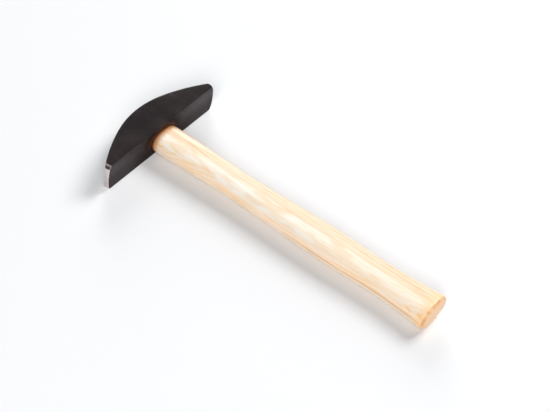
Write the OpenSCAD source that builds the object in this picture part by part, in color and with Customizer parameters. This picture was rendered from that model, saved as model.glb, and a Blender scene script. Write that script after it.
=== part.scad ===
// Scythe peening hammer: a half-moon steel head with two narrow peens, wedged on a wooden handle.
// The hammer lies on its lower cheek. +X runs along the handle to the butt, +Y along the head and +Z up.
// The origin is on the lower cheek, below the middle of the eye.

/* [Head] */
// Length of the head over the outer edges of the two peens
head_len = 143; // [134:1:156]
// Depth from the top of the crown to the flat handle-side face
head_depth = 29.5; // [27:0.5:33]
// Thickness of the head from cheek to cheek
head_thick = 28.5; // [25:0.5:32]
// Radius of the middle stretch of the crown
crown_r = 90; // [82:1:100]
// Width of the middle stretch of the crown
crown_span = 54; // [46:1:60]

/* [Peens] */
// Width of a striking face
peen_w = 4.2; // [3.4:0.1:6]
// Lean of a striking face towards the handle, in degrees
peen_tilt = 14; // [8:1:20]
// Radius of a striking face across its width
peen_r = 12; // [9:0.5:18]
// Radius of a striking face along its height
peen_long_r = 70; // [60:5:120]
// Height of the chamfer at each end of a striking face
corner_h = 4; // [3:0.5:6]
// Depth of that chamfer at the cheek
corner_back = 2.4; // [2:0.1:3]

/* [Eye] */
// Width of the eye at the handle side, along the head
eye_w = 25; // [22:0.5:27]
// Height of the eye at the handle side, from cheek to cheek
eye_h = 16; // [14:0.5:18]
// Widening of the eye from the handle side to the crown
eye_flare = 1.8; // [1:0.1:2.6]
// Play between the wood and the wall of the eye
eye_play = 0.1; // [0.05:0.05:0.2]

/* [Handle] */
// Whole length of the handle, from the crown end of its tenon to the butt
handle_len = 320; // [280:5:360]
// Height of the wood above the top of the crown, where the tenon is trimmed
tenon_proud = 0.4; // [0.2:0.1:1]
// Width of the handle at the shoulder, beside the head
shoulder_w = 30; // [28.5:0.5:34]
// Height of the handle at the shoulder
shoulder_h = 21; // [19.5:0.5:23]
// Width of the handle at the neck, its slimmest stretch
neck_w = 27; // [24:0.5:30]
// Height of the handle at the neck
neck_h = 20; // [17:0.5:22]
// Distance of the neck from the head
neck_at = 82; // [60:1:100]
// Width of the handle at the belly, where the palm closes
belly_w = 32.6; // [29:0.2:38]
// Height of the handle at the belly
belly_h = 21; // [18:0.5:24]
// Distance of the belly from the butt
belly_back = 105; // [85:1:120]
// Width of the handle at the waist, before the butt
waist_w = 30.6; // [27:0.2:36]
// Height of the handle at the waist
waist_h = 20.6; // [18:0.2:24]
// Distance of the waist from the butt
waist_back = 57; // [45:1:70]
// Width of the handle at the butt
butt_w = 37; // [33:0.2:44]
// Height of the handle at the butt
butt_h = 23.5; // [20:0.5:25]
// Squareness of the handle's section, where 2 is an ellipse
section_n = 2.4; // [2:0.1:3]
// Length over which the shoulder rounds in to the head
shoulder_round = 5; // [3:0.5:8]
// Rounding of the rim of the butt
butt_round = 2; // [1:0.25:3]
// Rise of the middle of the butt over its rim
butt_dome = 0.8; // [0.2:0.1:1.5]

/* [Wedges] */
// Length of the wooden wedge
wedge_len = 21; // [14:1:24]
// Thickness of the wooden wedge at its head
wedge_thick = 3.2; // [2:0.2:4]
// Thickness of the wooden wedge at its tip
wedge_tip = 0.9; // [0.5:0.1:1.2]
// Play between the wooden wedge and its kerf
wedge_play = 0.1; // [0.05:0.05:0.2]
// Outer diameter of the ring wedge at its head
ring_d = 12; // [9:0.5:13]
// Wall of the ring wedge at its head
ring_wall = 1.6; // [1:0.1:2.2]
// Wall of the ring wedge at its sharp end
ring_edge = 0.5; // [0.3:0.1:0.8]
// Length of the ring wedge
ring_len = 10; // [6:0.5:12]
// Play between the ring wedge and the wood
ring_play = 0.05; // [0.05:0.05:0.15]

/* [Hidden] */

// Facets of a full circle on the head, and on small round pieces
head_fn = 720;
small_fn = 96;
// Margin by which a cutting shape passes what it cuts
over = 2;

// Places along the handle: the top of the crown and the handle-side face
crown_x = -head_depth / 2;
under_x = head_depth / 2;
mid_z = head_thick / 2;

// Crown: the middle arc, and the flank arc that leaves it smoothly and ends at a peen's outer edge
crown_cx = crown_x + crown_r;
join_angle = asin(crown_span / 2 / crown_r);
join_x = crown_cx - crown_r * cos(join_angle);
join_y = crown_span / 2;
outer_x = under_x - peen_w * cos(peen_tilt);
outer_y = head_len / 2;
flank_dx = outer_x - join_x;
flank_dy = outer_y - join_y;
flank_r = (flank_dx * flank_dx + flank_dy * flank_dy)
  / 2 / (flank_dx * cos(join_angle) - flank_dy * sin(join_angle));
flank_cx = join_x + flank_r * cos(join_angle);
flank_cy = join_y - flank_r * sin(join_angle);

// Place on the handle-side face where the line between the crown's arcs ends
join_end_y = (crown_cx - under_x) * tan(join_angle);

// Striking face: its inner edge, the middle of its width, and the axis that it is rounded about
inner_y = outer_y - peen_w * sin(peen_tilt);
face_x = (outer_x + under_x) / 2;
face_y = (outer_y + inner_y) / 2;
face_deep = sqrt(peen_r * peen_r - peen_w * peen_w / 4);
corner_rise = mid_z - corner_h;
corner_drop = peen_long_r - sqrt(peen_long_r * peen_long_r - corner_rise * corner_rise);
corner_lean = atan((corner_back - corner_drop) / corner_h);

// Handle: its start against the head, its end, and the inset of its first ring
seat_play = 0.05;
grip_x = under_x + seat_play;
butt_x = crown_x - tenon_proud + handle_len;
shoulder_lip = 0.7;
tenon_root = 6;
flare_power = 1.8;
ring_points = 36;
shoulder_steps = 5;
grip_steps = 32;
butt_steps = 4;
dome_steps = 3;

// Wedges: the flat that they are driven flush with, and what the saw kerf is deeper than its wedge
drive_x = crown_x - tenon_proud;
kerf_spare = 1.5;

// Outline of the head from above: the middle disc and its two flanks, cut off along the handle-side face
module half_moon() {
  intersection() {
    union() {
      translate([crown_cx, 0])
        circle(crown_r, $fn = head_fn);
      for (side = [0, 1])
        mirror([0, side])
          flank_outline();
    }
    translate([crown_x - over, -outer_y - over / 2])
      square([head_depth + over, 2 * outer_y + over]);
  }
}

// One flank, from the line between the crown's arcs to beyond its peen
module flank_outline() {
  intersection() {
    translate([flank_cx, flank_cy])
      circle(flank_r, $fn = head_fn);
    polygon([
      [join_x - over * cos(join_angle), join_y + over * sin(join_angle)],
      [under_x, join_end_y],
      [under_x, outer_y + over],
      [join_x - over, outer_y + over]
    ]);
  }
}

module head() {
  color("#2d2629")
    difference() {
      linear_extrude(head_thick)
        half_moon();
      eye_space(crown_x - over, under_x + over, 0);
      for (side = [0, 1])
        mirror([0, side, 0])
          peen_grind();
    }
}

// What is ground away at one end of the head: the crowned striking face and its two corners
module peen_grind() {
  block = peen_w + 2 * over;
  translate([face_x, face_y, mid_z])
    rotate([0, 0, -peen_tilt]) {
      difference() {
        translate([-block / 2, -2 * over, -mid_z - over])
          cube([block, 4 * over, head_thick + 2 * over]);
        translate([0, -face_deep, 0])
          rotate_extrude($fn = head_fn)
            barrel_profile();
      }
      for (up = [0, 1])
        mirror([0, 0, up])
          translate([-block / 2, -corner_drop, -corner_rise])
            rotate([-corner_lean, 0, 0])
              translate([0, 0, -2 * corner_h])
                cube([block, 2 * over, 2 * corner_h]);
    }
}

module barrel_profile() {
  reach = mid_z + over;
  intersection() {
    translate([0, -reach])
      square([peen_r + over, 2 * reach]);
    translate([peen_r - peen_long_r, 0])
      circle(peen_long_r, $fn = head_fn);
  }
}

// Space of the tapered eye between two places along the handle, drawn in by the play all round
function eye_r(x) = eye_h / 2 + eye_flare / 2 * (under_x - x) / head_depth;

module eye_space(from_x, to_x, play) {
  straight = eye_w - eye_h;
  from_r = eye_r(from_x) - play;
  to_r = eye_r(to_x) - play;
  for (side = [1, -1])
    translate([from_x, side * straight / 2, mid_z])
      rotate([0, 90, 0])
        cylinder(h = to_x - from_x, r1 = from_r, r2 = to_r, $fn = small_fn);
  translate([0, straight / 2, mid_z])
    rotate([90, 0, 0])
      linear_extrude(straight)
        polygon([[from_x, -from_r], [to_x, -to_r], [to_x, to_r], [from_x, from_r]]);
}

// What lies inside the arc along which the wood is trimmed, just above the crown
module trim_space() {
  translate([crown_cx, 0, 0])
    cylinder(h = head_thick, r = crown_r + tenon_proud, $fn = head_fn);
}

// Flat taper along the middle of the tenon, as wide as the head is long
module wedge_space(length, play) {
  tip = wedge_thick + (wedge_tip - wedge_thick) * length / wedge_len;
  start = wedge_thick + (wedge_thick - wedge_tip) * over / wedge_len;
  translate([0, eye_w, mid_z])
    rotate([90, 0, 0])
      linear_extrude(2 * eye_w)
        polygon([
          [drive_x - over, -start / 2 - play],
          [drive_x + length, -tip / 2 - play],
          [drive_x + length, tip / 2 + play],
          [drive_x - over, start / 2 + play]
        ]);
}

// Round wedge with a tapered bore, with play all round and a lead out past the crown
module ring_space(play, lead) {
  taper = (ring_wall - ring_edge) / ring_len;
  core_r = ring_d / 2 - ring_wall - play;
  translate([drive_x - lead, 0, mid_z])
    rotate([0, 90, 0])
      difference() {
        cylinder(h = lead + ring_len + play, r = ring_d / 2 + play, $fn = small_fn);
        cylinder(
          h = lead + ring_len + play,
          r1 = core_r - taper * lead,
          r2 = core_r + taper * (ring_len + play),
          $fn = small_fn
        );
      }
}

module handle() {
  color("#f0d3a6") {
    grip();
    difference() {
      intersection() {
        eye_space(crown_x - over, grip_x + tenon_root, eye_play);
        trim_space();
      }
      wedge_space(wedge_len + kerf_spare, wedge_play);
      ring_space(ring_play, over);
    }
  }
}

// Widths and heights of the grip at its named places, and the smooth line between them
grip_places = [
  [grip_x + shoulder_round, shoulder_w, shoulder_h],
  [grip_x + neck_at, neck_w, neck_h],
  [butt_x - belly_back, belly_w, belly_h],
  [butt_x - waist_back, waist_w, waist_h],
  [butt_x - butt_dome, butt_w, butt_h]
];

function ease(t) = t * t * (3 - 2 * t);

function flare(t) = pow(t, flare_power);

function place_before(x, k = 0) = k >= len(grip_places) - 2 || x < grip_places[k + 1][0]
  ? k
  : place_before(x, k + 1);

function grip_size(x) =
  let (
    k = place_before(x),
    a = grip_places[k],
    b = grip_places[k + 1],
    t = max(0, (x - a[0]) / (b[0] - a[0])),
    share = k == len(grip_places) - 2 ? flare(t) : ease(t)
  )
  [a[1] + (b[1] - a[1]) * share, a[2] + (b[2] - a[2]) * share];

// Rings of the grip, each with its place, its width and its height
shoulder_rings = [
  for (k = [0 : shoulder_steps - 1])
    let (
      turn = 90 * k / shoulder_steps,
      w = eye_w + 2 * shoulder_lip,
      h = eye_h + 2 * shoulder_lip
    )
    [
      grip_x + shoulder_round * (1 - cos(turn)),
      w + (shoulder_w - w) * sin(turn),
      h + (shoulder_h - h) * sin(turn)
    ]
];

grip_start = grip_x + shoulder_round;
grip_end = butt_x - butt_dome - butt_round;
grip_rings = [
  for (k = [0 : grip_steps])
    let (x = grip_start + (grip_end - grip_start) * k / grip_steps)
    concat([x], grip_size(x))
];

butt_rings = [
  for (k = [1 : butt_steps])
    let (
      turn = 90 * k / butt_steps,
      x = grip_end + butt_round * sin(turn),
      inset = 2 * butt_round * (1 - cos(turn)),
      size = grip_size(x)
    )
    [x, size[0] - inset, size[1] - inset]
];

dome_rings = [
  for (k = [1 : dome_steps - 1])
    let (
      share = 1 - k / dome_steps,
      rim = butt_rings[butt_steps - 1]
    )
    [rim[0] + butt_dome * (1 - share * share), rim[1] * share, rim[2] * share]
];

function section(ring) = [
  for (i = [0 : ring_points - 1])
    let (
      c = cos(360 * i / ring_points),
      s = sin(360 * i / ring_points)
    )
    [
      ring[0],
      ring[1] / 2 * sign(c) * pow(abs(c), 2 / section_n),
      mid_z + ring[2] / 2 * sign(s) * pow(abs(s), 2 / section_n)
    ]
];

module grip() {
  rings = concat(shoulder_rings, grip_rings, butt_rings, dome_rings);
  points = concat([for (ring = rings) each section(ring)], [[butt_x, 0, mid_z]]);
  last = (len(rings) - 1) * ring_points;
  start_face = [for (i = [1 : ring_points - 2]) [0, i, i + 1]];
  sides = [
    for (k = [0 : len(rings) - 2], i = [0 : ring_points - 1])
      let (
        a = k * ring_points + i,
        b = k * ring_points + (i + 1) % ring_points
      )
      each [[a, a + ring_points, b + ring_points], [a, b + ring_points, b]]
  ];
  end_face = [
    for (i = [0 : ring_points - 1])
      [last + i, len(points) - 1, last + (i + 1) % ring_points]
  ];
  polyhedron(points = points, faces = concat(start_face, sides, end_face));
}

module wooden_wedge() {
  color("#c79a63")
    difference() {
      intersection() {
        wedge_space(wedge_len, 0);
        eye_space(crown_x - over, under_x, eye_play);
        trim_space();
      }
      ring_space(ring_play, over);
    }
}

module ring_wedge() {
  color("#8f9195")
    ring_space(0, 0);
}

head();
handle();
wooden_wedge();
ring_wedge();
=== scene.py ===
import math

import bmesh
import bpy
from mathutils import Matrix, Vector, noise


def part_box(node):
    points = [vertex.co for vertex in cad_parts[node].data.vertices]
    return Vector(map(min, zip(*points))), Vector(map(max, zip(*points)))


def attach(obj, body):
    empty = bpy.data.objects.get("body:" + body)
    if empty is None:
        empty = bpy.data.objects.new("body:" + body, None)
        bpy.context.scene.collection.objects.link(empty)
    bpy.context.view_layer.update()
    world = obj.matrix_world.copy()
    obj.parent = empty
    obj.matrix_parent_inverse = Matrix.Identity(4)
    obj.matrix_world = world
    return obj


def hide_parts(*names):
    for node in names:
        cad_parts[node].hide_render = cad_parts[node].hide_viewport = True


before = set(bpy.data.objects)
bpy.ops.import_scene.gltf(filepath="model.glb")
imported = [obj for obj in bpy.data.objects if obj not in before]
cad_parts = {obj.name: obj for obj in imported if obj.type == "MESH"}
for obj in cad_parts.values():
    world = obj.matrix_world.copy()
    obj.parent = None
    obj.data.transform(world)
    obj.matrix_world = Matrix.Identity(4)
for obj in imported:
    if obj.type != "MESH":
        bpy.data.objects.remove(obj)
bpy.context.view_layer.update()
mm = 0.001

# Head
# One forging of tool steel in a half-moon, tapered eye and all, dipped in black satin lacquer.
# The narrow peen at each end was ground afterwards, so its face is bare bright steel.
head_low, head_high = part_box("head")
crown_x = head_low[0]
under_x = head_high[0]
head_thick = head_high[2] - head_low[2]
mid_z = (head_low[2] + head_high[2]) / 2
crown_r = 90 * mm
crown_span = 54 * mm
peen_w = 4.2 * mm
peen_tilt = math.radians(14)
peen_r = 12 * mm
peen_long_r = 70 * mm
corner_h = 4 * mm
corner_back = 2.4 * mm
edge_r = 0.38 * mm

# The crown's middle arc, and the flank arc that leaves it smoothly and ends at the outer edge of a peen
crown_cx = crown_x + crown_r
join_angle = math.asin(crown_span / 2 / crown_r)
join_x = crown_cx - crown_r * math.cos(join_angle)
join_y = crown_span / 2
outer_x = under_x - peen_w * math.cos(peen_tilt)
outer_y = head_high[1]
flank_dx = outer_x - join_x
flank_dy = outer_y - join_y
flank_bend = flank_dx * math.cos(join_angle) - flank_dy * math.sin(join_angle)
flank_r = (flank_dx**2 + flank_dy**2) / 2 / flank_bend
flank_cx = join_x + flank_r * math.cos(join_angle)
flank_cy = join_y - flank_r * math.sin(join_angle)
corner_rise = head_thick / 2 - corner_h
corner_drop = peen_long_r - math.sqrt(peen_long_r**2 - corner_rise**2)


def crown_at(y, inset):
    """How far along the handle the crown lies at a place along the head, drawn in by the inset."""
    y = abs(y)
    if y < join_y:
        return crown_cx - math.sqrt((crown_r - inset) ** 2 - y**2)
    return flank_cx - math.sqrt((flank_r - inset) ** 2 - (y - flank_cy) ** 2)


def grind_depth(z):
    """How deep the grinding has gone into the end of the head at a height."""
    rise = abs(z - mid_z)
    if rise < corner_rise:
        return peen_long_r - math.sqrt(peen_long_r**2 - rise**2)
    return corner_drop + (corner_back - corner_drop) * (rise - corner_rise) / corner_h


def face_point(along, z):
    """A point of the +Y striking face, along its width from its outer edge."""
    swell = math.sqrt(peen_r**2 - (along - peen_w / 2) ** 2) - math.sqrt(peen_r**2 - peen_w**2 / 4)
    out = swell - grind_depth(z)
    return (
        outer_x + along * math.cos(peen_tilt) + out * math.sin(peen_tilt),
        outer_y - along * math.sin(peen_tilt) + out * math.cos(peen_tilt),
    )


halvings = 40


def find(low, high, above):
    """The value between low and high at which above turns from false to true."""
    for _ in range(halvings):
        middle = (low + high) / 2
        if above(middle):
            high = middle
        else:
            low = middle
    return (low + high) / 2


def face_ends(z, inset):
    """Where the striking face meets the crown and the handle-side face, along its width."""

    def inside_crown(along):
        x, y = face_point(along, z)
        return x > crown_at(y, inset)

    def past_under(along):
        return face_point(along, z)[0] > under_x - inset

    return find(-peen_w, peen_w / 2, inside_crown), find(peen_w / 2, 2 * peen_w, past_under)


# An odd number along the head keeps the rows of its skin off the middle of the eye
long_steps = 97
cross_steps = 16
edge_steps = 5
wall_steps = 12


def edge_levels():
    """Heights and insets from the lower cheek to the upper one, round both edges."""
    levels = []
    for step in range(edge_steps + 1):
        turn = math.radians(90 * step / edge_steps)
        levels.append((edge_r * (1 - math.sin(turn)), edge_r * (1 - math.cos(turn))))
    levels.reverse()
    levels.append((corner_h, 0))
    for step in range(1, wall_steps):
        levels.append((corner_h + (head_thick - 2 * corner_h) * step / wall_steps, 0))
    levels.append((head_thick - corner_h, 0))
    levels += [(head_thick - height, inset) for height, inset in reversed(levels[: edge_steps + 1])]
    return levels


def head_lattice(level, inset):
    """Rows of points across the head at one height, from one end to the other."""
    crown_end, under_end = face_ends(level, inset)
    crown_end_y = face_point(crown_end, level)[1]
    under_end_y = face_point(under_end, level)[1]
    rows = []
    for i in range(long_steps + 1):
        along = 2 * i / long_steps - 1
        row = []
        for j in range(cross_steps + 1):
            across = j / cross_steps
            if i in (0, long_steps):
                x, y = face_point(crown_end + (under_end - crown_end) * across, level)
                y = y if i else -y
            else:
                crown_y = along * crown_end_y
                crown_place = crown_at(crown_y, inset)
                x = crown_place + (under_x - inset - crown_place) * across
                y = crown_y + (along * under_end_y - crown_y) * across
            row.append(Vector((x, y, level)))
        rows.append(row)
    return rows


forging_depth = 0.09 * mm
forging_size = 9 * mm
ground_length = 5 * mm
forging_fade = 6 * mm


def forged(point, normal):
    """Dents the skin as hammering leaves it, and fades to nothing before the ground ends."""
    keep = min(1, max(0, (outer_y - ground_length - abs(point.y)) / forging_fade))
    dent = 0.5 + 0.5 * noise.noise(point / forging_size)
    return point - normal * forging_depth * dent * keep


def build_head():
    """The forging without its eye: a grid on each cheek, and walls between them round the outline."""
    mesh = bmesh.new()
    levels = [head_lattice(z, inset) for z, inset in edge_levels()]
    last = len(levels) - 1
    corners = {}

    def corner(place):
        if place not in corners:
            i, j, k = place
            corners[place] = mesh.verts.new(levels[k][i][j])
        return corners[place]

    def patch(*places):
        mesh.faces.new([corner(place) for place in places])

    for i in range(long_steps):
        for j in range(cross_steps):
            patch((i, j, 0), (i + 1, j, 0), (i + 1, j + 1, 0), (i, j + 1, 0))
            patch((i, j, last), (i, j + 1, last), (i + 1, j + 1, last), (i + 1, j, last))
        for k in range(last):
            for j in (0, cross_steps):
                patch((i, j, k), (i, j, k + 1), (i + 1, j, k + 1), (i + 1, j, k))
    for k in range(last):
        for j in range(cross_steps):
            for i in (0, long_steps):
                patch((i, j, k), (i, j + 1, k), (i, j + 1, k + 1), (i, j, k + 1))
    bmesh.ops.recalc_face_normals(mesh, faces=mesh.faces)
    mesh.normal_update()
    for vert in mesh.verts:
        vert.co = forged(vert.co, vert.normal)
    return mesh


def object_from(mesh, name):
    """A scene object made from a mesh that was built in code."""
    data = bpy.data.meshes.new(name)
    mesh.to_mesh(data)
    mesh.free()
    piece = bpy.data.objects.new(name, data)
    bpy.context.scene.collection.objects.link(piece)
    return piece


def shade(piece, degrees):
    """Smooth shading that breaks at edges sharper than so many degrees."""
    for polygon in piece.data.polygons:
        polygon.use_smooth = True
    piece.data.set_sharp_from_angle(angle=math.radians(degrees))


same_point = 0.02 * mm


def cut(piece, cutter):
    """Takes the cutter's shape out of the piece, and merges points that the cut leaves almost together."""
    boolean = piece.modifiers.new("cut", "BOOLEAN")
    boolean.object = cutter
    boolean.solver = "EXACT"
    bpy.context.view_layer.objects.active = piece
    bpy.ops.object.modifier_apply(modifier=boolean.name)
    bpy.data.objects.remove(cutter)
    mesh = bmesh.new()
    mesh.from_mesh(piece.data)
    bmesh.ops.remove_doubles(mesh, verts=mesh.verts, dist=same_point)
    bmesh.ops.dissolve_degenerate(mesh, dist=same_point, edges=mesh.edges)
    mesh.to_mesh(piece.data)
    mesh.free()


# The eye: an oblong hole, wider at the crown than at the handle
eye_w = 25 * mm
eye_h = 16 * mm
eye_flare = 1.8 * mm
eye_margin = 2 * mm
oval_points = 96
# The top and the bottom of the oval, where the cosine is nothing but rounding error
upright = 0.01


def eye_radius(x):
    """Half the height of the eye at a place along the handle."""
    return eye_h / 2 + eye_flare / 2 * (under_x - x) / (under_x - crown_x)


def eye_ring(x, play):
    """Points round the eye at a place along the handle, drawn in by the play, from +Y over the top."""
    radius = eye_radius(x) - play
    straight = (eye_w - eye_h) / 2
    points = []
    for i in range(oval_points):
        turn = 2 * math.pi * i / oval_points
        side = math.copysign(1, math.cos(turn))
        if abs(math.cos(turn)) < upright:
            side = 0
        y = side * straight + radius * math.cos(turn)
        points.append(Vector((x, y, mid_z + radius * math.sin(turn))))
    return points


def loft(rings, close_end=True):
    """A skin through rings of points, all with as many points, closed at its start."""
    mesh = bmesh.new()
    rows = [[mesh.verts.new(point) for point in ring] for ring in rings]
    count = len(rings[0])
    for a, b in zip(rows, rows[1:]):
        for i in range(count):
            j = (i + 1) % count
            mesh.faces.new((a[i], a[j], b[j], b[i]))
    mesh.faces.new(reversed(rows[0]))
    if close_end:
        mesh.faces.new(rows[-1])
    bmesh.ops.recalc_face_normals(mesh, faces=mesh.faces)
    return mesh


head_crease = 24
head = object_from(build_head(), "forged_head")
eye = loft([eye_ring(crown_x - eye_margin, 0), eye_ring(under_x + eye_margin, 0)])
cut(head, object_from(eye, "eye_cutter"))
shade(head, head_crease)


def set_inputs(tree, node, inputs):
    """Sets each input of a node to a value, or links it to an output."""
    for name, value in inputs.items():
        if isinstance(value, bpy.types.NodeSocket):
            tree.links.new(value, node.inputs[name])
        else:
            node.inputs[name].default_value = value


def add(tree, kind, inputs=None, **settings):
    """A new node with its settings and inputs."""
    made = tree.nodes.new(kind)
    for name, value in settings.items():
        setattr(made, name, value)
    set_inputs(tree, made, inputs or {})
    return made


def maths(tree, operation, *values):
    return add(tree, "ShaderNodeMath", dict(enumerate(values)), operation=operation).outputs[0]


def product(tree, first, *others):
    """All the values multiplied together."""
    for other in others:
        first = maths(tree, "MULTIPLY", first, other)
    return first


def total(tree, first, *others):
    """All the values added together."""
    for other in others:
        first = maths(tree, "ADD", first, other)
    return first


def sloped(tree, value, slope, start):
    """The start, and the slope for each 1 of the value."""
    return total(tree, start, product(tree, value, slope))


def swing(tree, value, middle, gain):
    """How far the value is from its middle, times the gain."""
    return product(tree, maths(tree, "SUBTRACT", value, middle), gain)


def mix_value(tree, factor, a, b):
    return add(tree, "ShaderNodeMix", {0: factor, 2: a, 3: b}).outputs[0]


def mix_colour(tree, factor, a, b):
    return add(tree, "ShaderNodeMix", {0: factor, 6: a, 7: b}, data_type="RGBA").outputs[2]


def step_between(tree, value, low, high):
    """0 below low, 1 above high and smooth between them, or the other way round where high is the lower."""
    inputs = {"Value": value, "From Min": low, "From Max": high}
    return add(tree, "ShaderNodeMapRange", inputs, interpolation_type="SMOOTHSTEP").outputs["Result"]


def noise_at(tree, vector, scale, detail=2.0, roughness=0.5):
    """Noise: how many waves in each 1 of the vector, how many finer sets of them, and how strong they are."""
    inputs = {"Vector": vector, "Scale": scale, "Detail": detail, "Roughness": roughness}
    return add(tree, "ShaderNodeTexNoise", inputs).outputs["Fac"]


def stretched(tree, vector, scale):
    return add(tree, "ShaderNodeVectorMath", {0: vector, 1: scale}, operation="MULTIPLY").outputs[0]


def axes_of(tree, vector):
    """The X, Y and Z of a vector."""
    return add(tree, "ShaderNodeSeparateXYZ", {0: vector}).outputs


def place_in(tree):
    """Where each point of the piece is."""
    return add(tree, "ShaderNodeTexCoord").outputs["Object"]


def facing_axes(tree):
    """The X, Y and Z of the way that the surface faces."""
    return axes_of(tree, add(tree, "ShaderNodeNewGeometry").outputs["Normal"])


def bumped(tree, height, strength, depth):
    """The normal of a surface that a height between 0 and 1 raises by the depth."""
    inputs = {"Strength": strength, "Distance": depth, "Height": height}
    return add(tree, "ShaderNodeBump", inputs).outputs[0]


def new_material(name):
    """A node material with its Principled shader."""
    material = bpy.data.materials.new(name)
    material.use_nodes = True
    tree = material.node_tree
    tree.nodes.clear()
    shader = add(tree, "ShaderNodeBsdfPrincipled")
    add(tree, "ShaderNodeOutputMaterial", {0: shader.outputs[0]})
    return material, tree, shader


def dress(piece, material):
    """Gives the piece this material in place of any other."""
    piece.data.materials.clear()
    piece.data.materials.append(material)


socket_kinds = {"FLOAT": "NodeSocketFloat", "VECTOR": "NodeSocketVector", "RGBA": "NodeSocketColor"}


def new_group(name, inputs, outputs):
    """A node group with named sockets, what its inputs give, and the node that takes its outputs."""
    group = bpy.data.node_groups.new(name, "ShaderNodeTree")
    for socket, kind in inputs.items():
        group.interface.new_socket(socket, in_out="INPUT", socket_type=socket_kinds[kind])
    for socket, kind in outputs.items():
        group.interface.new_socket(socket, in_out="OUTPUT", socket_type=socket_kinds[kind])
    return group, add(group, "NodeGroupInput").outputs, add(group, "NodeGroupOutput")


def use_group(tree, group, inputs):
    return add(tree, "ShaderNodeGroup", inputs, node_tree=group).outputs


ground_line_noise = (1.0, 6.0, 0.7)
ground_patch_noise = (220.0, 3.0)


def ground_steel_group():
    """Fine lines that a grinding wheel leaves on steel, along one direction, and the tone between them."""
    group, given, made = new_group(
        "ground steel lines",
        {"Place": "VECTOR", "Stretch": "VECTOR", "Bright": "RGBA", "Dull": "RGBA"},
        {"Colour": "RGBA", "Height": "FLOAT", "Roughness": "FLOAT"},
    )
    lines = noise_at(group, stretched(group, given["Place"], given["Stretch"]), *ground_line_noise)
    patches = noise_at(group, given["Place"], *ground_patch_noise)
    tone = total(group, product(group, lines, 0.65), product(group, patches, 0.35))
    tone = step_between(group, tone, 0.3, 0.7)
    outputs = {
        "Colour": mix_colour(group, tone, given["Dull"], given["Bright"]),
        "Height": lines,
        "Roughness": sloped(group, tone, slope=-0.14, start=0.42),
    }
    set_inputs(group, made, outputs)
    return group


ground_steel = ground_steel_group()

LACQUER = (0.007, 0.0034, 0.0038, 1)
LACQUER_WORN = (0.019, 0.0115, 0.0120, 1)
LACQUER_SPECK = (0.05, 0.042, 0.042, 1)
LACQUER_SHEEN = (0.040, 0.031, 0.0325, 1)
BRIGHT_STEEL = (0.80, 0.72, 0.71, 1)
DULL_STEEL = (0.52, 0.46, 0.45, 1)
EDGE_STEEL = (0.42, 0.37, 0.36, 1)
# Painted reflection of the wood in the lacquer round the handle's seat
PAINTED_WOOD_REFLECTION = (0.10, 0.040, 0.017, 1)

# Half the size of the handle where it meets the head
seat_w = 15.2 * mm
seat_h = 10.7 * mm

# Where each finish of the head, each painted reflection and the painted sheen comes in, from none of it to
# all of it: along X, Y or Z, out from the middle of the handle's seat to its rim at 1, or as the surface
# turns to face the end or the handle
corner_z = head_thick - corner_h
lip_edge_y = outer_y - corner_back
ground_y = (outer_y - 5.2 * mm, outer_y - 4.6 * mm)
ground_facing = (0.70, 0.78)
bare_z = (corner_z + 0.1 * mm, corner_z - 0.2 * mm)
lip_y = (lip_edge_y - 0.7 * mm, lip_edge_y - 0.25 * mm)
lip_z = (head_thick - 0.35 * mm, head_thick - 0.1 * mm)
facet_top_z = (head_thick - 1.5 * mm, head_thick - 0.9 * mm)
facet_under_x = (under_x - 0.9 * mm, under_x - 0.4 * mm)
sheen_y = (16 * mm, 50 * mm)
reflection_out = (1.42, 1.02)
reflection_x = (under_x - 3 * mm, under_x - 0.5 * mm)
reflection_z = (mid_z - 7 * mm, mid_z + 1 * mm)
dull_out = (2.2, 1.2)
dull_z = (24 * mm, 6 * mm)
under_facing = (0.6, 0.9)

# Its noise: waves in a metre, and for some the finer waves
rub_noise = (700.0, 4.0, 0.65)
cloud_noise = (45.0, 5.0, 0.6)
skin_noise = (900.0, 4.0, 0.6)
speck_waves = 1400.0
wander_waves = 500.0


def ground_ends(tree, facing, along):
    """The ends of the head, found by the way they face and by where they are."""
    endwise = step_between(tree, maths(tree, "ABSOLUTE", facing["Y"]), *ground_facing)
    return product(tree, endwise, step_between(tree, along, *ground_y))


def bare_faces(tree, place, axes, ends):
    """Bare where the striking faces were ground, up to a wandering line just under the upper corner. The
    upper corner facets stay in black lacquer: a painted shade, darker than the bare lower facets.
    """
    wander = swing(tree, noise_at(tree, place, wander_waves), middle=0.5, gain=1.2 * mm)
    return product(tree, ends, step_between(tree, total(tree, axes["Z"], wander), *bare_z))


def rubbed_edges(tree, axes, along, ends, bare, rub):
    """Lacquer rubbed off the upper lip and the rims of the corner facets, and scuffed between them."""
    lip = product(
        tree,
        step_between(tree, along, *lip_y),
        step_between(tree, axes["Z"], *lip_z),
        step_between(tree, rub, 0.3, 0.5),
    )
    facet = maths(tree, "SUBTRACT", ends, bare)
    top_rim = step_between(tree, axes["Z"], *facet_top_z)
    under_rim = step_between(tree, axes["X"], *facet_under_x)
    rim = maths(tree, "MAXIMUM", top_rim, under_rim)
    scuffed = product(
        tree,
        facet,
        step_between(tree, rub, 0.30, 0.52),
        sloped(tree, rim, slope=0.8, start=0.12),
    )
    return maths(tree, "MAXIMUM", lip, scuffed)


def lacquer_colour(tree, place, along, under, clouds):
    """Black lacquer with worn clouds and pale specks, and a painted sheen that lightens the handle-side face
    away from the eye.
    """
    specks = product(tree, step_between(tree, noise_at(tree, place, speck_waves), 0.63, 0.72), 0.25)
    # The handle-side face is lighter towards the ends of the head: a painted sheen
    painted_sheen = product(tree, under, step_between(tree, along, *sheen_y))
    colour = mix_colour(tree, step_between(tree, clouds, 0.35, 0.7), LACQUER, LACQUER_WORN)
    colour = mix_colour(tree, specks, colour, LACQUER_SPECK)
    return mix_colour(tree, painted_sheen, colour, LACQUER_SHEEN)


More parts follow.
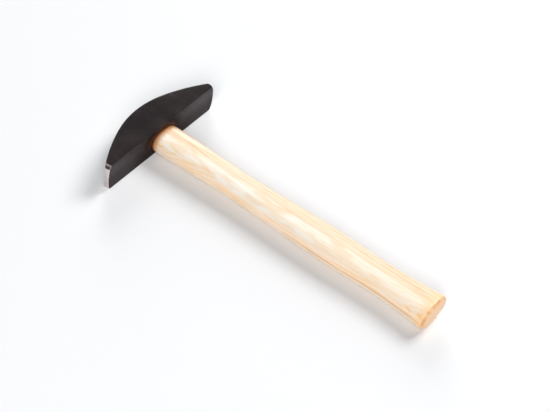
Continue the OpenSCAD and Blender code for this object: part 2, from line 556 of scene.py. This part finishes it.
def out_from_seat(tree, axes):
    """How far out from the middle of the handle's seat a point is, with 1 at the seat's rim."""
    side = maths(tree, "DIVIDE", axes["Y"], seat_w)
    rise = maths(tree, "DIVIDE", maths(tree, "SUBTRACT", axes["Z"], mid_z), seat_h)
    return maths(tree, "SQRT", total(tree, product(tree, side, side), product(tree, rise, rise)))


def painted_wood_reflection(tree, axes, from_seat, rub):
    """A painted reflection of the wood: brown in the black lacquer round the handle's seat, on the
    handle-side face and mostly above the head's middle.
    """
    return product(
        tree,
        step_between(tree, from_seat, *reflection_out),
        step_between(tree, rub, 0.30, 0.55),
        step_between(tree, axes["X"], *reflection_x),
        step_between(tree, axes["Z"], *reflection_z),
    )


def lacquer_roughness(tree, axes, under, from_seat, clouds):
    """Satin, but dulled on the handle-side face low down and round the handle, by hands and oil."""
    satin = sloped(tree, clouds, slope=0.14, start=0.18)
    low_down = step_between(tree, axes["Z"], *dull_z)
    dulled = maths(tree, "MAXIMUM", low_down, step_between(tree, from_seat, *dull_out))
    return total(tree, satin, product(tree, dulled, under, 0.4))


def head_material():
    material, tree, shader = new_material("black lacquer and ground steel")
    place = place_in(tree)
    axes = axes_of(tree, place)
    facing = facing_axes(tree)
    along = maths(tree, "ABSOLUTE", axes["Y"])
    under = step_between(tree, facing["X"], *under_facing)
    from_seat = out_from_seat(tree, axes)
    rub = noise_at(tree, place, *rub_noise)
    clouds = noise_at(tree, place, *cloud_noise)
    skin = noise_at(tree, place, *skin_noise)
    ends = ground_ends(tree, facing, along)
    bare = bare_faces(tree, place, axes, ends)
    worn = rubbed_edges(tree, axes, along, ends, bare, rub)
    steel = use_group(
        tree,
        ground_steel,
        {"Place": place, "Stretch": (300, 300, 9000), "Bright": BRIGHT_STEEL, "Dull": DULL_STEEL},
    )
    colour = lacquer_colour(tree, place, along, under, clouds)
    # Brown round the handle's seat is a painted reflection of the wood in the lacquer
    colour = mix_colour(tree, painted_wood_reflection(tree, axes, from_seat, rub), colour, PAINTED_WOOD_REFLECTION)
    colour = mix_colour(tree, worn, colour, EDGE_STEEL)
    satin = lacquer_roughness(tree, axes, under, from_seat, clouds)
    relief = mix_value(tree, bare, skin, steel["Height"])
    finish = {
        "Base Color": mix_colour(tree, bare, colour, steel["Colour"]),
        "Metallic": maths(tree, "MAXIMUM", bare, worn),
        "Roughness": mix_value(tree, bare, satin, steel["Roughness"]),
        "Normal": bumped(tree, relief, strength=0.35, depth=0.06 * mm),
        "Specular IOR Level": 0.1,
    }
    set_inputs(tree, shader, finish)
    return material


dress(head, head_material())
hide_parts("head")
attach(head, "root")

# Handle
# One piece of ash, shaved and sanded to fit the hand, under clear satin lacquer.
# Its tenon fills the eye to the crown, where it was trimmed along the curve after wedging.
tenon_proud = 0.4 * mm
eye_play = 0.1 * mm
seat_play = 0.05 * mm
shoulder_lip = 0.5 * mm
shoulder_round = 6 * mm
butt_round = 4.2 * mm
butt_dome = 0.8 * mm
section_power = 2.4
flare_power = 1.8
butt_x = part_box("handle")[1][0]
grip_x = under_x + seat_play
# Place along the handle, width and height, at the shoulder, neck, belly, waist and butt
grip_places = [
    (grip_x + shoulder_round, 30 * mm, 21 * mm),
    (grip_x + 82 * mm, 27 * mm, 20 * mm),
    (butt_x - 105 * mm, 32.6 * mm, 21 * mm),
    (butt_x - 57 * mm, 30.6 * mm, 20.6 * mm),
    (butt_x - butt_dome, 37 * mm, 23.5 * mm),
]
tenon_steps = 8
shoulder_steps = 10
grip_steps = 150
butt_steps = 12
dome_steps = 6


def grip_size(x):
    """Width and height of the grip at a place along it."""
    last = len(grip_places) - 2
    k = 0
    while k < last and x >= grip_places[k + 1][0]:
        k += 1
    start, w, h = grip_places[k]
    end, next_w, next_h = grip_places[k + 1]
    share = max(0, (x - start) / (end - start))
    share = share**flare_power if k == last else share * share * (3 - 2 * share)
    return w + (next_w - w) * share, h + (next_h - h) * share


def grip_ring(x, w, h):
    """Points round the grip, from +Y over the top."""
    points = []
    for i in range(oval_points):
        turn = 2 * math.pi * i / oval_points
        c = math.cos(turn)
        s = math.sin(turn)
        y = math.copysign(abs(c) ** (2 / section_power), c) * w / 2
        z = math.copysign(abs(s) ** (2 / section_power), s) * h / 2
        points.append(Vector((x, y, mid_z + z)))
    return points


def handle_rings():
    """Rings of points from the trimmed end of the tenon to the dome of the butt."""
    rings = []
    # The tenon, to the head's handle-side face
    trim_r = crown_r + tenon_proud
    for step in range(tenon_steps + 1):
        share = step / tenon_steps
        ring = []
        for point in eye_ring(crown_x + (grip_x - crown_x) * share, eye_play):
            trim_x = crown_cx - math.sqrt(trim_r**2 - point.y**2)
            ring.append(Vector((trim_x + (grip_x - trim_x) * share, point.y, point.z)))
        rings.append(ring)
    # The shoulder rounds out from the eye to the grip
    start_w = eye_w + 2 * shoulder_lip
    start_h = eye_h + 2 * shoulder_lip
    grip_start, full_w, full_h = grip_places[0]
    for step in range(shoulder_steps):
        turn = math.radians(90 * step / shoulder_steps)
        x = grip_x + shoulder_round * (1 - math.cos(turn))
        w = start_w + (full_w - start_w) * math.sin(turn)
        h = start_h + (full_h - start_h) * math.sin(turn)
        rings.append(grip_ring(x, w, h))
    grip_end = butt_x - butt_dome - butt_round
    for step in range(grip_steps + 1):
        x = grip_start + (grip_end - grip_start) * step / grip_steps
        rings.append(grip_ring(x, *grip_size(x)))
    # The rim of the butt, and the low dome that closes it
    for step in range(1, butt_steps + 1):
        turn = math.radians(90 * step / butt_steps)
        x = grip_end + butt_round * math.sin(turn)
        w, h = grip_size(x)
        inset = 2 * butt_round * (1 - math.cos(turn))
        rings.append(grip_ring(x, w - inset, h - inset))
    for step in range(1, dome_steps):
        share = 1 - step / dome_steps
        x = butt_x - butt_dome * share * share
        rings.append(grip_ring(x, (w - inset) * share, (h - inset) * share))
    return rings


def build_handle():
    """The handle without its kerf and groove, closed at the butt by a fan round the top of the dome."""
    rings = handle_rings()
    mesh = loft(rings, close_end=False)
    top = mesh.verts.new((butt_x, 0, mid_z))
    mesh.verts.ensure_lookup_table()
    start = (len(rings) - 1) * oval_points
    last = [mesh.verts[start + i] for i in range(oval_points)]
    for i in range(oval_points):
        mesh.faces.new((last[i], last[(i + 1) % oval_points], top))
    bmesh.ops.recalc_face_normals(mesh, faces=mesh.faces)
    return mesh


# The saw kerf for the wooden wedge, and the groove that the ring wedge opens as it is driven
drive_x = crown_x - tenon_proud
wedge_len = 21 * mm
wedge_thick = 3.2 * mm
wedge_tip = 0.9 * mm
wedge_play = 0.1 * mm
kerf_spare = 1.5 * mm
ring_r = 6 * mm
ring_wall = 1.6 * mm
ring_edge = 0.5 * mm
ring_len = 10 * mm
ring_play = 0.05 * mm
# How far outside the crown both cutters start
lead = 2 * mm


def kerf_half(x):
    """Half the width of the kerf at a place along it: half the wedge's thickness and the play."""
    return (wedge_thick + (wedge_tip - wedge_thick) * (x - drive_x) / wedge_len) / 2 + wedge_play


def kerf_cutter():
    rings = []
    for x in (drive_x - lead, drive_x + wedge_len + kerf_spare):
        half = kerf_half(x)
        corners = ((eye_w, -half), (eye_w, half), (-eye_w, half), (-eye_w, -half))
        rings.append([Vector((x, y, mid_z + z)) for y, z in corners])
    return loft(rings)


def groove_cutter():
    """The ring wedge's outline with its play, turned round the middle of the handle."""
    taper = (ring_wall - ring_edge) / ring_len
    core = ring_r - ring_wall - ring_play
    start = drive_x - lead
    end = drive_x + ring_len + ring_play
    outline = [
        (start, ring_r + ring_play),
        (end, ring_r + ring_play),
        (end, core + taper * (ring_len + ring_play)),
        (start, core - taper * lead),
    ]
    mesh = bmesh.new()
    rows = []
    for i in range(oval_points):
        turn = 2 * math.pi * i / oval_points
        rows.append([mesh.verts.new((x, r * math.cos(turn), mid_z + r * math.sin(turn))) for x, r in outline])
    for a, b in zip(rows, rows[1:] + rows[:1]):
        for i in range(len(outline)):
            j = (i + 1) % len(outline)
            mesh.faces.new((a[i], a[j], b[j], b[i]))
    bmesh.ops.recalc_face_normals(mesh, faces=mesh.faces)
    return mesh


handle_crease = 40
handle = object_from(build_handle(), "ash_handle")
cut(handle, object_from(kerf_cutter(), "kerf_cutter"))
cut(handle, object_from(groove_cutter(), "groove_cutter"))
shade(handle, handle_crease)

# Wood is drawn in millimetres, and its strands begin at this place in the noise
in_mm = (1000, 1000, 1000)
strand_start = (90, 23, 4)

# Noise of wood: waves in a millimetre along the grain and across it, and for some the finer waves
streak_noise = (0.012, 0.42, 4.0, 0.7)
fibre_noise = (0.04, 1.2, 4.0, 0.65)
pore_noise = (0.22, 4.2)


def along_grain(tree, at, length, width, detail=2.0, roughness=0.5):
    """Noise drawn out along the grain, with fewer waves along it than across it."""
    return noise_at(tree, stretched(tree, at, (length, width, width)), 1.0, detail, roughness)


def wood_grain_group():
    """One year of growth after another, counted by the ring number, with fibres and pores along the grain."""
    group, given, made = new_group(
        "wood grain",
        {"Place": "VECTOR", "Ring": "FLOAT", "Pale": "RGBA", "Honey": "RGBA", "Pore": "RGBA"},
        {"Colour": "RGBA", "Height": "FLOAT"},
    )
    at = stretched(group, given["Place"], in_mm)
    # Early wood comes on fast each year and fades slowly, and some years have more of it
    season = maths(group, "FRACT", given["Ring"])
    year = maths(group, "FLOOR", given["Ring"])
    strength = add(group, "ShaderNodeTexWhiteNoise", {"W": year}, noise_dimensions="1D").outputs["Value"]
    early = product(
        group,
        step_between(group, season, 0.0, 0.10),
        step_between(group, season, 0.68, 0.16),
        sloped(group, strength, slope=0.75, start=0.25),
    )
    strands = add(group, "ShaderNodeVectorMath", {0: at, 1: strand_start}, operation="ADD").outputs[0]
    streak = along_grain(group, strands, *streak_noise)
    fibre = along_grain(group, strands, *fibre_noise)
    # Pores crowd in the early wood
    pores = step_between(group, along_grain(group, at, *pore_noise), 0.55, 0.68)
    pores = product(group, pores, sloped(group, early, slope=0.88, start=0.12))
    honey = total(
        group,
        product(group, early, 0.85),
        swing(group, streak, middle=0.49, gain=3.4),
        swing(group, fibre, middle=0.5, gain=2.6),
    )
    honey = add(group, "ShaderNodeClamp", {0: honey}).outputs[0]
    colour = mix_colour(group, honey, given["Pale"], given["Honey"])
    outputs = {
        "Colour": mix_colour(group, product(group, pores, 0.4), colour, given["Pore"]),
        "Height": maths(group, "SUBTRACT", product(group, fibre, 0.3), pores),
    }
    set_inputs(group, made, outputs)
    return group


wood_grain = wood_grain_group()

ASH_WHITE = (1.0, 0.94, 0.85, 1)
ASH_CREAM = (0.96, 0.79, 0.61, 1)
ASH_TAN = (0.90, 0.70, 0.51, 1)
ASH_HONEY = (0.74, 0.43, 0.18, 1)
ASH_STRAW = (0.98, 0.73, 0.46, 1)
ASH_GOLD = (1.0, 0.84, 0.62, 1)
ASH_AMBER = (0.98, 0.60, 0.26, 1)
PAINTED_PEACH = (1.0, 0.86, 0.75, 1)
ASH_PORE = (0.70, 0.37, 0.14, 1)
END_GRAIN = (0.94, 0.61, 0.37, 1)
RIM_STAIN = (0.66, 0.27, 0.07, 1)
EDGE_BROWN = (0.66, 0.36, 0.15, 1)
SEAT_SHADE = (0.58, 0.22, 0.055, 1)
JOINT_SHADE = (0.10, 0.035, 0.012, 1)
TENON_PALE = (0.72, 0.50, 0.29, 1)
TENON_DARK = (0.50, 0.30, 0.14, 1)

# The tree that the handle was sawn from, in millimetres: how wide a ring is, how the rings lean in the
# handle, how far the tree's heart is from the handle's middle, and how the rings sway, wobble and climb
ring_width = 1.15
sawn_lean = math.radians(42)
heart_away = 75.2
sway_noise = (0.02, 0.07)
sway_depth = 1.6
wobble_noise = (0.07, 0.4)
wobble_depth = 0.45
climb_x = (5, 108)
climb_height = 4.9
follow_x = (105, 200)
follow_height = 1.8

# How far the bounds between the tones of the wood drift across the rings
drift_noise = (0.025, 0.1)
drift_width = 4.0

# Where each tone of the wood comes in, from none of it to all of it, in millimetres: along the handle,
# across the rings, sideways or up, and for the ends as the surface turns to face along the handle
butt_at = butt_x / mm
grip_at = grip_x / mm
white_across = (8.0, 3.5)
white_noise = (0.035, 0.12)
less_white_x = (120, 260)
upper_across = (1.5, 7.0)
lower_light_across = (-4.0, -9.5)
lower_shade_across = (-4.0, -9.0)
line_x = (140, 200)
line_side = (0.0, -4.0)
line_bottom = (-1.6, -0.4)
line_top = (2.2, 0.8)
line_drift = (1.0, 2.0)
warm_x = (butt_at - 14, butt_at - 4)
end_x = (butt_at - 9, butt_at - 7)
end_facing = (0.55, 0.90)
rim_start_facing = (0.08, 0.45)
rim_stop_facing = (0.97, 0.75)
blotch_noise = (0.05, 0.16, 3.0)
seat_shade_x = (grip_at + 9.0, grip_at + 2.2)
joint_shade_x = (grip_at + 3.0, grip_at + 0.8)
sawn_facing = (-0.6, -0.8)
speckle_noise = (0.3, 1.6, 4.0, 0.7)
gloss_noise = (60.0, 4.0)


def ash_axes(tree, place):
    """Millimetres along the handle, sideways, up, across the growth rings and outwards through them."""
    at = stretched(tree, place, in_mm)
    spot = axes_of(tree, at)
    side = spot["Y"]
    up = maths(tree, "SUBTRACT", spot["Z"], mid_z / mm)
    across = total(tree, product(tree, side, math.cos(sawn_lean)), product(tree, up, math.sin(sawn_lean)))
    out = total(tree, product(tree, up, math.cos(sawn_lean)), product(tree, side, -math.sin(sawn_lean)))
    return at, spot["X"], side, up, across, out


def ash_rings(tree, at, x, across, out):
    """Ring number: the rings lie nearly flat to the face that looks up and to -Y, and climb to the butt."""
    inputs = {"Value": x, "From Min": climb_x[0], "From Max": climb_x[1], "To Max": climb_height}
    climb = add(tree, "ShaderNodeMapRange", inputs).outputs[0]
    follow = product(tree, step_between(tree, x, *follow_x), follow_height)
    away = total(tree, out, heart_away)
    square = total(tree, product(tree, across, across), product(tree, away, away))
    depth = maths(tree, "SUBTRACT", maths(tree, "SQRT", square), total(tree, climb, follow))
    sway = product(tree, along_grain(tree, at, *sway_noise), sway_depth)
    wobble = product(tree, along_grain(tree, at, *wobble_noise), wobble_depth)
    return maths(tree, "DIVIDE", total(tree, depth, sway, wobble), ring_width)


def ash_tones(tree, at, x, across):
    """The pale and the honey tone of the rings at each place, between which the grain varies."""
    # Sapwood is palest where the saw ran along it, more so away from the butt
    white = product(
        tree,
        step_between(tree, maths(tree, "ABSOLUTE", across), *white_across),
        step_between(tree, along_grain(tree, at, *white_noise), 0.33, 0.52),
        sloped(tree, step_between(tree, x, *less_white_x), slope=-0.45, start=1.0),
    )
    upper = step_between(tree, across, *upper_across)
    pale = mix_colour(tree, white, mix_colour(tree, upper, ASH_CREAM, ASH_TAN), ASH_WHITE)
    honey = mix_colour(tree, white, mix_colour(tree, upper, ASH_STRAW, ASH_HONEY), ASH_GOLD)
    # Along the lower side the pale wood turns a lighter peach, painted light for that side, and the honey
    # wood turns deeper orange, partly the heart's own colour and partly painted shade
    lower_light = product(tree, step_between(tree, across, *lower_light_across), 0.28)
    lower_shade = product(tree, step_between(tree, across, *lower_shade_across), 0.85)
    return mix_colour(tree, lower_light, pale, PAINTED_PEACH), mix_colour(tree, lower_shade, honey, ASH_AMBER)


def brown_line(tree, x, side, up, drift):
    """A brown ring line runs out along the lower side of the grip's last half."""
    return product(
        tree,
        step_between(tree, up, *line_bottom),
        step_between(tree, up, *line_top),
        step_between(tree, x, *line_x),
        step_between(tree, side, *line_side),
        step_between(tree, drift, *line_drift),
    )


def rim_line(tree, at, endwise, at_butt):
    """A dark line follows the start of the butt's rounding, stronger in blotches."""
    blotch = step_between(tree, along_grain(tree, at, *blotch_noise), 0.40, 0.62)
    return product(
        tree,
        step_between(tree, endwise, *rim_start_facing),
        at_butt,
        step_between(tree, endwise, *rim_stop_facing),
        sloped(tree, blotch, slope=0.5, start=0.3),
    )


def ash_material():
    material, tree, shader = new_material("lacquered ash")
    place = place_in(tree)
    at, x, side, up, across, out = ash_axes(tree, place)
    drift = product(tree, along_grain(tree, at, *drift_noise), drift_width)
    across = total(tree, across, maths(tree, "SUBTRACT", drift, drift_width / 2))
    endwise = facing_axes(tree)["X"]
    pale, honey = ash_tones(tree, at, x, across)
    rings = ash_rings(tree, at, x, across, out)
    grain = use_group(
        tree,
        wood_grain,
        {"Place": place, "Ring": rings, "Pale": pale, "Honey": honey, "Pore": ASH_PORE},
    )
    line = product(tree, brown_line(tree, x, side, up, drift), 0.55)
    colour = mix_colour(tree, line, grain["Colour"], EDGE_BROWN)
    # The wood warms towards the butt's rim, and its end grain has drunk the lacquer
    warmed = product(tree, step_between(tree, x, *warm_x), 0.6)
    at_butt = step_between(tree, x, *end_x)
    end = product(tree, step_between(tree, endwise, *end_facing), at_butt)
    colour = mix_colour(tree, warmed, colour, ASH_AMBER)
    colour = mix_colour(tree, product(tree, end, 0.8), colour, END_GRAIN)
    colour = mix_colour(tree, rim_line(tree, at, endwise, at_butt), colour, RIM_STAIN)
    # Painted shade darkens the wood where it meets the head: orange-brown over the shoulder and dark brown at
    # the joint
    seat = product(tree, step_between(tree, x, *seat_shade_x), 0.9)
    joint_shade = product(tree, step_between(tree, x, *joint_shade_x), 0.85)
    colour = mix_colour(tree, seat, colour, SEAT_SHADE)
    colour = mix_colour(tree, joint_shade, colour, JOINT_SHADE)
    # The tenon's sawn end on the crown is oiled end grain
    speckle = step_between(tree, along_grain(tree, at, *speckle_noise), 0.35, 0.65)
    sawn = mix_colour(tree, speckle, TENON_DARK, TENON_PALE)
    colour = mix_colour(tree, step_between(tree, endwise, *sawn_facing), colour, sawn)
    roughness = sloped(tree, noise_at(tree, place, *gloss_noise), slope=0.16, start=0.34)
    finish = {
        "Base Color": colour,
        "Roughness": total(tree, roughness, product(tree, end, 0.2)),
        "Normal": bumped(tree, grain["Height"], strength=0.25, depth=0.05 * mm),
        "Coat Weight": 0.25,
        "Coat Roughness": 0.22,
    }
    set_inputs(tree, shader, finish)
    return material


dress(handle, ash_material())
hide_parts("handle")
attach(handle, "root")

# Wooden wedge
# A thin taper of darker hardwood, glued and driven into the kerf along the eye.
# It was sawn off flush with the tenon, so only its end grain shows on the crown.
WEDGE_PALE = (0.30, 0.16, 0.070, 1)
WEDGE_DARK = (0.17, 0.085, 0.036, 1)
WEDGE_PORE = (0.08, 0.040, 0.017, 1)
wedge_ring_width = 1.4 * mm
wedge_ring_slant = 0.6
wedge_ring_sway = 3 * mm
wedge_sway_waves = 90.0


def wedge_rings(tree, place):
    """Ring number in the wedge, whose rings stand at a slant to its faces."""
    axes = axes_of(tree, place)
    slant = total(tree, axes["Y"], product(tree, axes["Z"], wedge_ring_slant))
    sway = product(tree, noise_at(tree, place, wedge_sway_waves), wedge_ring_sway)
    return maths(tree, "DIVIDE", total(tree, slant, sway), wedge_ring_width)


def wedge_material():
    material, tree, shader = new_material("wedge hardwood")
    place = place_in(tree)
    rings = wedge_rings(tree, place)
    grain = use_group(
        tree,
        wood_grain,
        {"Place": place, "Ring": rings, "Pale": WEDGE_PALE, "Honey": WEDGE_DARK, "Pore": WEDGE_PORE},
    )
    finish = {
        "Base Color": grain["Colour"],
        "Roughness": 0.6,
        "Normal": bumped(tree, grain["Height"], strength=0.3, depth=0.05 * mm),
    }
    set_inputs(tree, shader, finish)
    return material


dress(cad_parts["wooden_wedge"], wedge_material())

# Ring wedge
# A turned steel ring with a sharp far edge, driven into the end grain across the wooden wedge.
# It locks both, and its face on the crown keeps the fine lines of its turning.
RING_BRIGHT = (0.50, 0.50, 0.51, 1)
RING_DULL = (0.26, 0.26, 0.27, 1)


def ring_material():
    material, tree, shader = new_material("turned steel ring")
    place = place_in(tree)
    steel = use_group(
        tree,
        ground_steel,
        {"Place": place, "Stretch": (5000, 500, 500), "Bright": RING_BRIGHT, "Dull": RING_DULL},
    )
    finish = {
        "Base Color": steel["Colour"],
        "Metallic": 1,
        "Roughness": steel["Roughness"],
        "Normal": bumped(tree, steel["Height"], strength=0.3, depth=0.04 * mm),
    }
    set_inputs(tree, shader, finish)
    return material


dress(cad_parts["ring_wedge"], ring_material())

# Floor
# A plain white studio floor. The hammer tips until the butt rests on it as well as the cheek's edge,
# so the floor is laid through both, about half a degree off the cheek.
FLOOR_WHITE = (0.88, 0.888, 0.903, 1)
floor_half = 4.0
floor_squares = 8
butt_low = mid_z - grip_places[-1][2] / 2
floor_slope = math.atan2(butt_low, butt_x - butt_dome - butt_round - under_x)


def build_floor():
    mesh = bmesh.new()
    bmesh.ops.create_grid(mesh, x_segments=floor_squares, y_segments=floor_squares, size=floor_half)
    turn = Matrix.Translation((under_x, 0, 0)) @ Matrix.Rotation(-floor_slope, 4, "Y")
    bmesh.ops.transform(mesh, matrix=turn, verts=mesh.verts)
    return mesh


def floor_material():
    material, tree, shader = new_material("studio floor")
    set_inputs(tree, shader, {"Base Color": FLOOR_WHITE, "Roughness": 0.9, "Specular IOR Level": 0.0})
    return material


floor = object_from(build_floor(), "studio_floor")
dress(floor, floor_material())

# Light
# A broad soft lamp over the far side, a low one behind the head and a soft fill from the near side.
# The surround is white to look at, but dim as a light, so that the floor keeps the hammer's shadow.
lamp_distance = 3.8
surround = 0.02
middle = Vector(((crown_x + butt_x) / 2, 0, mid_z))


def soft_lamp(name, lamp_round, lamp_rise, size, power):
    """A round lamp that looks at the hammer's middle, from so many degrees round it and above the floor."""
    lamp_round = math.radians(lamp_round)
    lamp_rise = math.radians(lamp_rise)
    lamp_from = Vector(
        (
            math.cos(lamp_rise) * math.cos(lamp_round),
            math.cos(lamp_rise) * math.sin(lamp_round),
            math.sin(lamp_rise),
        )
    )
    light = bpy.data.lights.new(name, "AREA")
    light.shape = "DISK"
    light.size = size
    light.energy = power
    lamp = bpy.data.objects.new(name, light)
    lamp.location = middle + lamp_from * lamp_distance
    lamp.rotation_euler = (-lamp_from).to_track_quat("-Z", "Y").to_euler()
    bpy.context.scene.collection.objects.link(lamp)


def white_surround():
    """A world that is white to the camera, in gloss and through glass, and dim to everything else."""
    world = bpy.data.worlds.new("white surround")
    world.use_nodes = True
    tree = world.node_tree
    tree.nodes.clear()
    path = add(tree, "ShaderNodeLightPath").outputs
    seen = maths(tree, "MAXIMUM", path["Is Camera Ray"], path["Is Glossy Ray"])
    seen = maths(tree, "MAXIMUM", seen, path["Is Transmission Ray"])
    level = add(tree, "ShaderNodeMapRange", {"Value": seen, "To Min": surround, "To Max": 1.0}).outputs[0]
    background = add(tree, "ShaderNodeBackground", {"Color": (1, 1, 1, 1), "Strength": level})
    add(tree, "ShaderNodeOutputWorld", {0: background.outputs[0]})
    return world


soft_lamp("key_lamp", lamp_round=80, lamp_rise=45, size=2.19, power=107)
soft_lamp("strip_lamp", lamp_round=131, lamp_rise=18, size=2.19, power=81)
soft_lamp("fill_lamp", lamp_round=298, lamp_rise=38, size=2.34, power=115)
bpy.context.scene.world = white_surround()
bpy.context.scene.view_settings.view_transform = "Standard"

# Camera
# A long lens from the handle's side, high up, rolled a little as the photographer held it.
# Its place was fitted to the outline of the hammer in the photograph.
camera_aim = Vector((136.3, 3.8, 14.3)) * mm
camera_distance = 1.4407
camera_round = math.radians(29.56)
camera_rise = math.radians(46.49)
camera_roll = math.radians(10.57)
camera_lens = 111.3
film_width = 36

forward = Vector(
    (
        -math.sin(camera_round) * math.cos(camera_rise),
        math.cos(camera_round) * math.cos(camera_rise),
        -math.sin(camera_rise),
    )
)
level_right = forward.cross(Vector((0, 0, 1))).normalized()
level_up = level_right.cross(forward)
right = level_right * math.cos(camera_roll) + level_up * math.sin(camera_roll)
up = right.cross(forward)
spin = Matrix((right, up, -forward)).transposed().to_4x4()
camera_data = bpy.data.cameras.new("camera")
camera_data.sensor_fit = "HORIZONTAL"
camera_data.sensor_width = film_width
camera_data.lens = camera_lens
camera = bpy.data.objects.new("camera", camera_data)
camera.matrix_world = Matrix.Translation(camera_aim - forward * camera_distance) @ spin
bpy.context.scene.collection.objects.link(camera)
bpy.context.scene.camera = camera
